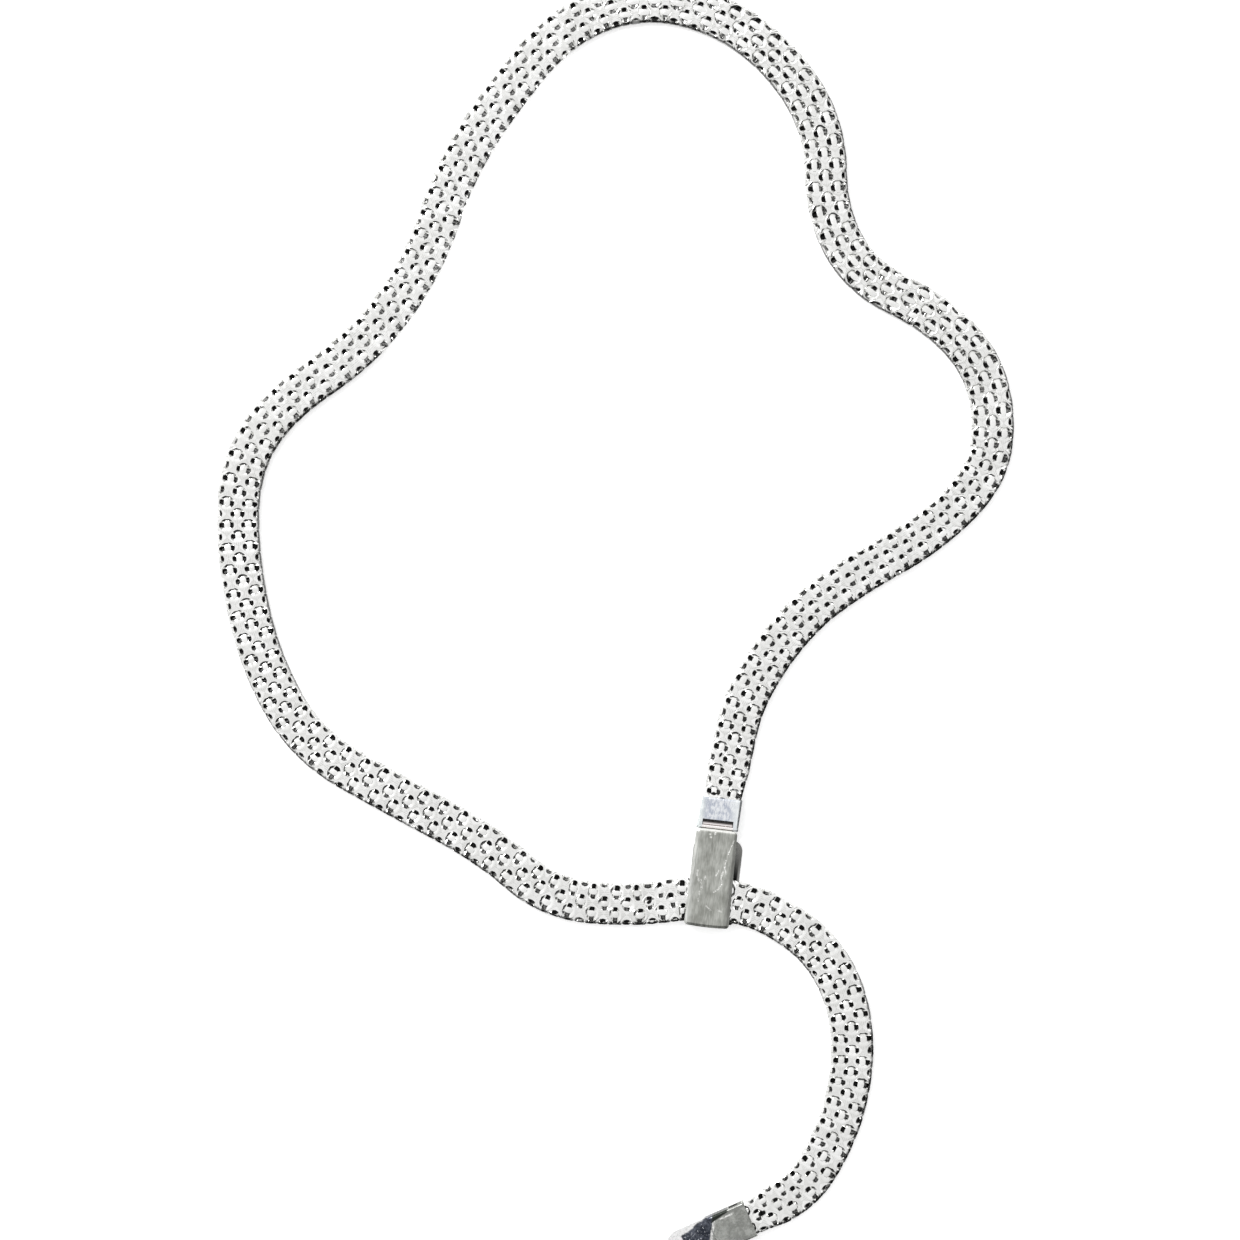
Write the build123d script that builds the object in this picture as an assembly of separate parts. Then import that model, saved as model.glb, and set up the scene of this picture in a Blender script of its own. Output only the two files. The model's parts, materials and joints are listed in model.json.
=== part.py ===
from build123d import *
from math import atan2, degrees, radians, tan
import os

# A flat woven metal choker lying on a table, seen from above: one long soft band, a fold-over clasp
# at its start and a polished tab at its free end. Millimetres, Z up, the table at Z = 0.

# Woven band
band_width = 6.15
band_thick = 1.3
meet_gap = 0.04  # between the loop and the tail, hidden under the clasp's cover

# Sheet metal and the play between pieces
sheet = 0.3
seat_gap = 0.03  # above, below and behind a band end held in its cap
lay_gap = 0.05  # between the band and the leaf that it crosses

# Clasp: place of the hinge bar's middle, and how far the clasp leans from the Y axis
clasp_x = 14.5
clasp_y = -29.65
clasp_lean = 6.5

# Clasp base: a cap on the band's start, a slot with the hinge bar, and a leaf below
cap_length = 4.15  # from the bar's axis to the mouth
cap_mouth_width = 5.6
cap_root_width = 5.95
cap_shift = 0.32  # the mouth's middle stands this far to the side
cap_bevel = 0.28
cap_bevel_drop = 0.14
slot_width = 4.4
slot_length = 1.04
web = 0.5  # solid metal between the slot and the band's end
bar_radius = 0.25
leaf_width = 7.0
leaf_shift = 0.5
leaf_start = 1.7
leaf_shoulder = 1.6
leaf_corner = 0.8
leaf_neck = 5.0

# Clasp cover: a plate with a hook round the bar and a lip round the band's far edge
run_gap = 0.06  # between the bar and the hook
hook_thick = 0.35
hook_rise = 0.2  # the hook's end stands this far above the bar's axis
hook_side_gap = 0.1
cover_thick = 0.45
cover_lead = 0.36  # from the bar's axis to the plate's near edge
cover_near_width = 5.85
cover_far_width = 6.4
cover_bulge = 0.15
cover_corner = 0.5
cover_bevel = 0.4
cover_bevel_drop = 0.18
lip_thick = 0.3
lip_gap = 0.07  # from the lip to the band's edge and to the leaf's end
lip_floor = 0.15  # from the lip to the table

# End tab: a cap on the band's tail, then a thinner tongue with a round tip
tab_length = 12.9
tab_width = 5.25
tab_hold = 2.2  # length of band held inside
tab_shank = 5.7
tab_tongue_thick = 0.9
tab_round = 0.3

# Ends of the band: narrowed to fit the caps, and lifted by them off the table
taper = 5.0
ramp = 5.5
clear = 3.0  # how far a cutting block stands past what it cuts
right_angle = 90

# Middle line of the band on the table, from just outside the clasp's cap round to the tab.
# The points are chosen by hand; the stretch inside the cap is worked out from the clasp.
route = [
    (16.4, -19.4), (18.5, -10.6), (25.8, 0.0), (34.2, 6.3), (44.4, 11.9), (52.9, 20.1),
    (54.2, 29.1), (51.8, 37.4), (44.9, 44.1), (35.2, 48.7), (30.1, 57.6), (29.9, 69.6),
    (24.3, 79.3), (15.1, 86.4), (3.5, 88.9), (-7.7, 84.6), (-16.3, 74.3), (-23.2, 63.3),
    (-27.1, 51.0), (-35.6, 39.0), (-48.4, 30.3), (-53.8, 21.1), (-53.9, 8.4), (-50.8, -5.9),
    (-44.1, -17.9), (-31.8, -24.9), (-18.4, -32.0), (-9.4, -39.9), (2.8, -40.9), (12.9, -39.4),
    (21.8, -41.4), (30.2, -47.6), (34.1, -57.4), (33.2, -69.4), (28.1, -80.1), (22.2, -84.1),
    (17.2, -86.3),
]
arc_share = 0.45  # of the shorter run beside a corner

# Heights that follow
cap_height = 2 * sheet + 2 * seat_gap + band_thick
hook_inner = bar_radius + run_gap
hook_outer = hook_inner + hook_thick
bar_height = cap_height - hook_inner
cap_lift = sheet + seat_gap
cross_lift = sheet + lay_gap
tall = cap_height + clear

clasp_place = Location((clasp_x, clasp_y, 0), (0, 0, -clasp_lean))
band_hold_start = slot_length + web + seat_gap


def block(x0, x1, y0, y1, z0, z1):
    """Rectangular block between two values on each axis."""
    return Pos((x0 + x1) / 2, (y0 + y1) / 2, (z0 + z1) / 2) * Box(x1 - x0, y1 - y0, z1 - z0)


def prism_across(profile, half_width):
    """Prism whose (Y, Z) outline is the profile, standing half_width to each side of X = 0."""
    face = Plane.YZ * make_face(Polyline(*profile, close=True).edges())
    return extrude(face, amount=half_width, both=True)


def direction(a, b):
    """Angle in degrees of the line from a to b, counted from +X."""
    return degrees(atan2(b[1] - a[1], b[0] - a[0]))


def lifted(band, place, steps, half_width):
    """The band with one stretch raised: steps are (distance along local Y, height) pairs."""
    floor_line = list(steps)
    top_line = [(y, z + band_thick) for y, z in reversed(steps)]
    raised = place * prism_across(floor_line + top_line, half_width)
    first, last = steps[0][0], steps[-1][0]
    flat = place * block(-half_width, half_width, first, last, -clear, tall)
    return (band["flat"] - flat) + (band["tall"] & raised)


def funnel(end_width, hold):
    """What is trimmed off a band end: it leaves end_width as far as hold, then widens to the band."""
    half, side = end_width / 2, band_width
    right = Polyline(
        (half, -clear), (half, hold), (band_width / 2, hold + taper), (side, hold + taper),
        (side, -clear), close=True,
    )
    wedge = Pos(0, 0, -clear) * extrude(make_face(right.edges()), amount=tall + clear)
    return wedge + mirror(wedge, about=Plane.YZ)


# Band: straight runs joined by arcs, with a flat cross-section
cap_axis = (cap_shift * band_hold_start / cap_length, band_hold_start)
start_at = (clasp_place * Pos(cap_axis[0], cap_axis[1], 0)).position
points = [(start_at.X, start_at.Y)] + route
legs = [Vector(b[0] - a[0], b[1] - a[1]) for a, b in zip(points, points[1:])]
runs = [leg.length for leg in legs]
turns = [before.get_angle(after) for before, after in zip(legs, legs[1:])]
radii = [
    arc_share * min(runs[i], runs[i + 1]) / tan(radians(turn) / 2) for i, turn in enumerate(turns)
]
print("arc radii:", [round(r, 1) for r in radii])
print("least radius", round(min(radii), 1), "greatest turn", round(max(turns), 1))

middle_line = FilletPolyline(*points, radius=radii)


def ribbon(height):
    """The band's width and a height above the table, along its middle line."""
    along = middle_line % 0
    section = Plane(origin=middle_line @ 0, z_dir=along, x_dir=Vector(0, 0, 1).cross(along))
    return sweep(section * Pos(0, height / 2) * Rectangle(band_width, height), path=middle_line)


band = {"flat": ribbon(band_thick), "tall": ribbon(tall)}
print(
    "band volume", round(band["flat"].volume, 1),
    "section x length", round(band_width * band_thick * middle_line.length, 1),
    "length", round(middle_line.length, 1),
)

# The leaf ends level with the far edge of the band under the cover, and the lip stands just past it
held = (clasp_place.inverse() * band["flat"]) & block(
    -cover_far_width / 2, cover_far_width / 2, -4 * band_width, -clear, 0, band_thick
)
held_box = held.bounding_box()
leaf_length = -held_box.min.Y
cross_reach = -held_box.center().Y  # from the bar's axis down to the middle of the band it holds
lip_near = leaf_length + lip_gap
cover_length = lip_near + lip_thick
print("cover length", round(cover_length, 2), "crossing at", round(cross_reach, 3))

cap_turn = direction(points[0], points[1]) - right_angle
cap_end_place = Location((points[0][0], points[0][1], 0), (0, 0, cap_turn))
cap_hold = cap_length - band_hold_start
tab_turn = direction(points[-1], points[-2]) - right_angle
tab_end_place = Location((points[-1][0], points[-1][1], 0), (0, 0, tab_turn))
cross_place = clasp_place * Location((0, -cross_reach, 0), (0, 0, -right_angle))

whole = band["flat"]
for place, steps in (
    (cap_end_place, [(-clear, cap_lift), (cap_hold + seat_gap, cap_lift), (cap_hold + ramp, 0)]),
    (tab_end_place, [(-clear, cap_lift), (tab_hold + seat_gap, cap_lift), (tab_hold + ramp, 0)]),
    (
        cross_place,
        [
            (-leaf_width / 2 + leaf_shift - ramp, 0),
            (-leaf_width / 2 + leaf_shift, cross_lift),
            (leaf_width / 2 + leaf_shift, cross_lift),
            (leaf_width / 2 + leaf_shift + ramp, 0),
        ],
    ),
):
    whole = lifted({"flat": whole, "tall": band["tall"]}, place, steps, band_width)
whole -= cap_end_place * funnel(cap_mouth_width, cap_hold)
whole -= tab_end_place * funnel(tab_width, tab_hold)
whole -= cross_place * block(-band_width, band_width, -meet_gap / 2, meet_gap / 2, -clear, tall)
band_tail, band_loop = sorted(whole.solids(), key=lambda solid: solid.volume)


def make_clasp_base():
    """Cap, slot, hinge bar and leaf, soldered into one piece."""
    half_root = cap_root_width / 2
    half_mouth = cap_mouth_width / 2
    outline = Polyline(
        (-half_root, 0), (half_root, 0), (cap_shift + half_mouth, cap_length),
        (cap_shift - half_mouth, cap_length), close=True,
    )
    cap = extrude(make_face(outline.edges()), amount=cap_height)
    top = cap.faces().sort_by(Axis.Z)[-1]
    rim = [e for e in top.edges() if e.center().Y > cap_length / 4]
    cap = chamfer(rim, cap_bevel, cap_bevel_drop, reference=top)
    cap += block(-half_root, half_root, -hook_inner, 0, 0, bar_height)
    bar_axis = Pos(0, 0, bar_height) * Rot(0, right_angle, 0)
    cap += bar_axis * Cylinder(hook_inner, cap_root_width)
    pocket = block(-cap_root_width, cap_root_width, -seat_gap, cap_length, sheet, cap_height - sheet)
    cap -= clasp_place.inverse() * cap_end_place * pocket
    cap -= block(-slot_width / 2, slot_width / 2, -clear, slot_length, sheet, tall)
    cap += bar_axis * Cylinder(bar_radius, (slot_width + cap_root_width) / 2)
    body_length = leaf_length - leaf_start
    body = Pos(leaf_shift, -leaf_start - body_length / 2) * RectangleRounded(
        leaf_width, body_length, leaf_corner
    )
    shoulders = Pos(leaf_shift, -leaf_start - leaf_shoulder) * RectangleRounded(
        leaf_width, 2 * leaf_shoulder, leaf_shoulder * (1 - arc_share / 10)
    )
    upper = Pos(leaf_shift, -leaf_start) * Rectangle(leaf_width, 2 * leaf_shoulder)
    leaf = (body - upper) + shoulders
    leaf += Pos(0, -leaf_start / 2) * Rectangle(leaf_neck, leaf_start + 2 * hook_inner)
    return cap + extrude(leaf, amount=sheet)


def cover_outline():
    near, far = cover_near_width / 2, cover_far_width / 2
    sides = Polyline((far, -cover_length), (near, -cover_lead), (-near, -cover_lead), (-far, -cover_length))
    end = ThreePointArc((-far, -cover_length), (0, -cover_length - cover_bulge), (far, -cover_length))
    return make_face([*sides.edges(), end])


def hook_outline():
    """The hook's strip seen from the side, in (Y, Z) from the bar's axis, open at the top."""
    down = Line((-hook_outer, hook_inner), (-hook_outer, 0))
    under = ThreePointArc((-hook_outer, 0), (0, -hook_outer), (hook_outer, 0))
    end = Polyline((hook_outer, 0), (hook_outer, hook_rise), (hook_inner, hook_rise), (hook_inner, 0))
    back = ThreePointArc((hook_inner, 0), (0, -hook_inner), (-hook_inner, 0))
    up = Polyline((-hook_inner, 0), (-hook_inner, hook_inner), (-hook_outer, hook_inner))
    return make_face([down, under, *end.edges(), back, *up.edges()])


def make_clasp_cover():
    """Plate, hook round the hinge bar and lip at the far end, as one piece."""
    plate = Pos(0, 0, cap_height) * extrude(cover_outline(), amount=cover_thick)
    plate = fillet(plate.edges().filter_by(Axis.Z), cover_corner)
    top = plate.faces().sort_by(Axis.Z)[-1]
    plate = chamfer(top.edges(), cover_bevel, cover_bevel_drop, reference=top)
    half_lip = cover_far_width / 2 - cover_corner
    strip = Pos(0, -lip_near - cover_corner) * Rectangle(2 * half_lip, 2 * cover_corner)
    lip = Pos(0, 0, lip_floor) * extrude(cover_outline() & strip, amount=cap_height - lip_floor)
    hook = Pos(0, 0, bar_height) * extrude(
        Plane.YZ * hook_outline(), amount=slot_width / 2 - hook_side_gap, both=True
    )
    return plate + lip + hook


def make_tail_tab():
    """Cap on the band's tail with a thinner round-tipped tongue. Local -Y points along the tab."""
    half = tab_width / 2
    mouth = tab_hold
    tip = tab_hold - tab_length
    step = tab_hold - tab_shank
    shank = block(-half, half, step, mouth, 0, cap_height)
    shank = fillet(shank.faces().sort_by(Axis.Z)[-1].edges(), tab_round)
    shank -= block(-tab_width, tab_width, -seat_gap, mouth + clear, sheet, cap_height - sheet)
    tongue = Pos(0, tip + half) * Circle(half) + Pos(0, (tip + half + step + half) / 2) * Rectangle(
        tab_width, step - tip
    )
    tongue = extrude(tongue, amount=tab_tongue_thick)
    tongue -= block(-tab_width, tab_width, step + half, mouth, -clear, tall)
    return shank + tongue


nodes = {
    "band_loop": band_loop,
    "band_tail": band_tail,
    "clasp_base": clasp_place * make_clasp_base(),
    "clasp_cover": clasp_place * make_clasp_cover(),
    "tail_tab": tab_end_place * make_tail_tab(),
}

# The origin is the middle of the footprint, on the table
footprint = Compound(children=[solid for piece in nodes.values() for solid in piece.solids()])
middle = footprint.bounding_box().center()
to_origin = Pos(-middle.X, -middle.Y, 0)
print("moved to the origin by", round(-middle.X, 3), round(-middle.Y, 3))
print("bar at", (to_origin * clasp_place).position, "height", round(bar_height, 3))

os.makedirs("parts", exist_ok=True)
for name, piece in nodes.items():
    solids = piece.solids()
    print(name, "solids", len(solids), "volume", round(sum(s.volume for s in solids), 2))
    placed = to_origin * (solids[0] if len(solids) == 1 else Compound(children=list(solids)))
    placed.label = name
    export_step(placed, f"parts/{name}.step")
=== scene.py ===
import json
import math

import bmesh
import bpy
import numpy as np
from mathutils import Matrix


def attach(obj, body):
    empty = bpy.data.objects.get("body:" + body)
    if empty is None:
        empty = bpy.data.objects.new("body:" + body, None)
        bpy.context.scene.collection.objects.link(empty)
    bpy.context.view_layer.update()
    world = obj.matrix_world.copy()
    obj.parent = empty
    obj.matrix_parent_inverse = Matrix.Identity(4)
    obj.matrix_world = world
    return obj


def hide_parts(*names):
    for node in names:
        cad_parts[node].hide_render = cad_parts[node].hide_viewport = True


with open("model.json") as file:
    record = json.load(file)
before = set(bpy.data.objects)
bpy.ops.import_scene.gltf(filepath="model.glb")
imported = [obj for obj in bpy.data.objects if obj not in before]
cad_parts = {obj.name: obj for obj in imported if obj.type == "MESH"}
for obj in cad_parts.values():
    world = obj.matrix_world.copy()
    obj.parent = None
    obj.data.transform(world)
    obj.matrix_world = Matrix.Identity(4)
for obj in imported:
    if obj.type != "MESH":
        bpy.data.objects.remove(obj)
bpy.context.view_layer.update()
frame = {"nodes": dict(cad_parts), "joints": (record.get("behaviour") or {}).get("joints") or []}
mm = 0.001
rng = np.random.default_rng(7)
hinge = np.array(frame["joints"][0]["pos_m"]) / mm  # middle of the clasp's bar, in millimetres
print("frame loaded:", sorted(frame["nodes"]))


# Shader maths. A Signal wraps one socket, and an operator on it adds a Math node.
class Signal:
    def __init__(self, bench, socket):
        self.bench, self.socket = bench, socket

    def maths(self, operation, *values):
        return self.bench.add("ShaderNodeMath", {"operation": operation}, dict(enumerate(values)))

    def __add__(self, other):
        return self.maths("ADD", self, other)

    def __sub__(self, other):
        return self.maths("SUBTRACT", self, other)

    def __rsub__(self, other):
        return self.maths("SUBTRACT", other, self)

    def __mul__(self, other):
        return self.maths("MULTIPLY", self, other)

    __radd__, __rmul__ = __add__, __mul__

    def size(self):
        return self.maths("ABSOLUTE", self)

    def cosine(self):
        return self.maths("COSINE", self)

    def atLeast(self, other):
        return self.maths("MAXIMUM", self, other)

    # start below low, end above high, and a smooth rise between them
    def ramp(self, low, high, start=0.0, end=1.0):
        settings = {"interpolation_type": "SMOOTHSTEP"}
        return self.bench.add("ShaderNodeMapRange", settings, {0: self, 1: low, 2: high, 3: start, 4: end})

    # start below low, 0 above high
    def fall(self, low, high, start=1.0):
        return self.ramp(low, high, start, 0.0)


# The node tree of a material or a world, the shader that it ends with and short ways to add to it.
class Bench:
    def __init__(self, owner, shader="Principled BSDF", **fixed):
        owner.use_nodes = True
        self.owner = owner
        self.tree = owner.node_tree
        self.shader = self.tree.nodes[shader]
        for socket, value in fixed.items():
            self.shader.inputs[socket.replace("_", " ")].default_value = value

    # any node: its type, its settings, then the values or links of its sockets
    def add(self, kind, settings=None, inputs=None, output=0):
        node = self.tree.nodes.new(kind)
        for key, value in (settings or {}).items():
            setattr(node, key, value)
        for key, value in (inputs or {}).items():
            self.join(value, node.inputs[key])
        return Signal(self, node.outputs[output])

    def join(self, value, socket):
        if isinstance(value, Signal):
            self.tree.links.new(value.socket, socket)
        else:
            socket.default_value = value

    def feed(self, socket, value):
        self.join(value, self.shader.inputs[socket])

    # Object coordinates in millimetres
    def place(self):
        coords = self.add("ShaderNodeTexCoord", output="Object")
        return self.add("ShaderNodeVectorMath", {"operation": "SCALE"}, {0: coords, "Scale": 1 / mm})

    # the first parts of a vector, X first
    def parts(self, vector, count=2):
        node = self.add("ShaderNodeSeparateXYZ", inputs={0: vector}).socket.node
        return [Signal(self, node.outputs[i]) for i in range(count)]

    # the vector seen from centre, turned by angle about Z, then divided by stretch
    def turned(self, vector, centre=(0, 0), angle=0, stretch=(1, 1, 1)):
        inputs = {0: vector, 1: (*centre, 0), 2: (0, 0, angle), 3: stretch}
        return self.add("ShaderNodeMapping", {"vector_type": "TEXTURE"}, inputs)

    # distance from centre, in units of reach along and across a line at an angle; height hardly counts
    def away(self, vector, centre, reach, angle=0):
        spot = self.turned(vector, centre, angle, (*reach, 100))
        return self.add("ShaderNodeVectorMath", {"operation": "LENGTH"}, {0: spot}, output=1)

    def noise(self, vector, scale, detail, rough=0.5):
        inputs = {"Vector": vector, "Scale": scale, "Detail": detail, "Roughness": rough}
        return self.add("ShaderNodeTexNoise", inputs=inputs)

    # noise on a vector that is stretched first
    def streaks(self, vector, stretch, scale, detail, rough):
        return self.noise(self.turned(vector, stretch=stretch), scale, detail, rough)

    def attribute(self, name):
        return self.add("ShaderNodeAttribute", {"attribute_name": name}, output="Fac")

    # first where share is 0, second where it is 1
    def blend(self, share, first, second):
        return self.add("ShaderNodeMix", {"data_type": "RGBA"}, {0: share, 6: first, 7: second}, output=2)

    # from the first colour to the second as level goes over levels
    def mottled(self, level, levels, first, second):
        return self.blend(level.ramp(*levels), first, second)

    # from smoothest to roughest as a noise goes over its usual range
    def roughness(self, noise, smoothest, roughest):
        self.feed("Roughness", noise.ramp(0.3, 0.7, smoothest, roughest))

    # height is a share of distance, which is in millimetres
    def bump(self, height, distance, strength):
        inputs = {"Height": height, "Distance": distance * mm, "Strength": strength}
        self.feed("Normal", self.add("ShaderNodeBump", inputs=inputs))


# 0 below low, 1 above high, and 3tt - 2ttt between them, where t is the share of the way.
def smooth(x, low, high):
    t = np.clip((x - low) / (high - low), 0, 1)
    return t * t * (3 - 2 * t)


# A linked object at the origin.
def addObject(name, data):
    thing = bpy.data.objects.new(name, data)
    bpy.context.scene.collection.objects.link(thing)
    return thing


# A smooth piece from an array of points in millimetres and a list of faces, riding on a body.
def makePiece(name, points, faces, body, material, attributes):
    mesh = bpy.data.meshes.new(name)
    mesh.from_pydata((points * mm).tolist(), [], faces)
    for key, values in attributes.items():
        mesh.attributes.new(key, "FLOAT", "POINT").data.foreach_set("value", values.astype(np.float32))
    mesh.polygons.foreach_set("use_smooth", np.full(len(mesh.polygons), True))
    mesh.materials.append(material)
    piece = addObject(name, mesh)
    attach(piece, body)
    return piece


# Camera: straight above, the photo's square frame at its own scale.
view = {
    "pixelsPerMm": 7.0,
    "photoSize": 1240,
    "centreX": 0.66,  # middle of the photo in the part's own frame
    "centreY": 0.32,
    "lens": 100.0,
    "sensor": 36.0,
    "clipNear": 10.0,
    "clipFar": 4.0,  # in heights of the camera
}


# The camera's height is the frame's width times the lens over the sensor.
def makeCamera():
    frameWidth = view["photoSize"] / view["pixelsPerMm"]
    height = frameWidth * view["lens"] / view["sensor"]
    data = bpy.data.cameras.new("camera")
    data.lens, data.sensor_width = view["lens"], view["sensor"]
    data.clip_start, data.clip_end = view["clipNear"] * mm, view["clipFar"] * height * mm
    camera = addObject("camera", data)
    camera.location = (view["centreX"] * mm, view["centreY"] * mm, height * mm)
    bpy.context.scene.camera = camera


makeCamera()
print("camera set")

# Band: a flat tube along one smooth line.
band = {
    "route": (  # from inside the clasp's cap round to inside the tab, as in the part
        (14.8, -28.1),
        (16.4, -19.4), (18.5, -10.6), (25.8, 0.0), (34.2, 6.3), (44.4, 11.9), (52.9, 20.1),
        (54.2, 29.1), (51.8, 37.4), (44.9, 44.1), (35.2, 48.7), (30.1, 57.6), (29.9, 69.6),
        (24.3, 79.3), (15.1, 86.4), (3.5, 88.9), (-7.7, 84.6), (-16.3, 74.3), (-23.2, 63.3),
        (-27.1, 51.0), (-35.6, 39.0), (-48.4, 30.3), (-53.8, 21.1), (-53.9, 8.4), (-50.8, -5.9),
        (-44.1, -17.9), (-31.8, -24.9), (-18.4, -32.0), (-9.4, -39.9), (2.8, -40.9), (12.9, -39.4),
        (21.8, -41.4), (30.2, -47.6), (34.1, -57.4), (33.2, -69.4), (28.1, -80.1), (22.2, -84.1),
        (17.2, -86.3),
    ),
    "routeBar": (14.5, -29.65),  # the clasp's bar in the route's own frame
    "routeSteps": 32,  # steps of the smooth line for each point of the route
    "width": 6.15,
    "thick": 1.3,
    "endHold": 2.6,  # length of band in the cap and in the tab
    "capWidth": 5.4,
    "tabWidth": 5.0,
    "taper": 5.0,  # length over which it narrows to these
    "capLift": 0.33,  # how high it lies in the cap and in the tab
    "crossLift": 0.35,  # and over the clasp's leaf
    "ramp": 5.5,  # length over which it rises to these
    "leaf": (-3.0, 4.0),  # the lifted length over the leaf, from the crossing's middle
    # Half outline of its section, as (length along it, degrees it has turned) from where it leaves the
    # flat: a bevel, then the upright side.
    "edge": ((0.0, 0.0), (0.5, 6.0), (0.62, 38.0), (1.02, 42.0), (1.04, 90.0)),
    "edgeLength": 3.0,  # more than that outline's length, and how many points it is worked out at
    "edgePoints": 601,
}
# Clasp: its own frame has the bar at the origin and the cap above, and leans clockwise.
clasp = {
    "lean": math.radians(6.5),
    "crossReach": 10.444,  # from the bar down to the middle of the band that it holds
}


# Points along the route's smooth line, a NURBS spline, and the distance from its start to each.
def readRoute():
    curve = bpy.data.curves.new("routeLine", "CURVE")
    curve.dimensions, curve.resolution_u = "3D", band["routeSteps"]
    spline = curve.splines.new("NURBS")
    spline.points.add(len(band["route"]) - 1)
    shift = hinge[:2] - np.array(band["routeBar"])
    flat = [(x + shift[0], y + shift[1], 0, 1) for x, y in band["route"]]
    spline.points.foreach_set("co", np.array(flat).ravel())
    spline.order_u, spline.use_endpoint_u = 3, True
    line = bpy.data.objects.new("routeLine", curve)
    mesh = bpy.data.meshes.new_from_object(line)
    points = np.empty(len(mesh.vertices) * 3)
    mesh.vertices.foreach_get("co", points)
    bpy.data.objects.remove(line)
    bpy.data.curves.remove(curve)
    bpy.data.meshes.remove(mesh)
    points = points.reshape(-1, 3)[:, :2]
    steps = np.linalg.norm(np.diff(points, axis=0), axis=1)
    points = points[np.concatenate([[True], steps > 1e-6])]  # the spline repeats some of its points
    steps = np.linalg.norm(np.diff(points, axis=0), axis=1)
    return points, np.concatenate([[0], np.cumsum(steps)])


routePoints, routeReach = readRoute()
bandLength = routeReach[-1]
print("band length", round(bandLength, 1), "mm")


# Unit heading of the band, from its start towards the tab, at a distance along it.
def headingAt(along):
    heading = np.gradient(routePoints, axis=0)
    heading /= np.linalg.norm(heading, axis=1)[:, None]
    turn = np.stack([np.interp(along, routeReach, heading[:, i]) for i in (0, 1)], axis=-1)
    return turn / np.linalg.norm(turn, axis=-1, keepdims=True)


# Places in the part's frame: the line's point at the distance along it, and from there the distance
# across, to the left of the heading, and the height.
def onBand(along, across, height):
    heading = headingAt(along)
    x, y = (np.interp(along, routeReach, routePoints[:, i]) for i in (0, 1))
    return np.stack([x - across * heading[..., 1], y + across * heading[..., 0], height], axis=-1)


# From the clasp's own frame, with the bar at its origin and its cap above, to the part's: turned
# clockwise by the clasp's lean, then moved to the bar.
def claspFrame(x, y):
    c, s = math.cos(clasp["lean"]), math.sin(clasp["lean"])
    return hinge[0] + x * c + y * s, hinge[1] - x * s + y * c


crossPoint = np.array(claspFrame(0, -clasp["crossReach"]))
crossAt = routeReach[np.argmin(np.linalg.norm(routePoints - crossPoint, axis=1))]


# Height of the band's underside: a smooth step up into the cap, over the clasp's leaf and into the tab.
def bandLift(along):
    hold, ramp = band["endHold"], band["ramp"]
    cap = band["capLift"] * (1 - smooth(along, hold, hold + ramp))
    tab = band["capLift"] * (1 - smooth(bandLength - along, hold, hold + ramp))
    first, last = band["leaf"]
    past = along - crossAt
    leaf = band["crossLift"] * smooth(past, first - ramp, first) * (1 - smooth(past, last, last + ramp))
    return cap + tab + leaf


# Share of the full width: a smooth step down where the band goes into the cap and the tab.
def bandNarrowing(along):
    capShare, tabShare = band["capWidth"] / band["width"], band["tabWidth"] / band["width"]
    hold, end = band["endHold"], band["endHold"] + band["taper"]
    cap = capShare + (1 - capShare) * smooth(along, hold, end)
    tab = tabShare + (1 - tabShare) * smooth(bandLength - along, hold, end)
    return cap * tab


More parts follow.
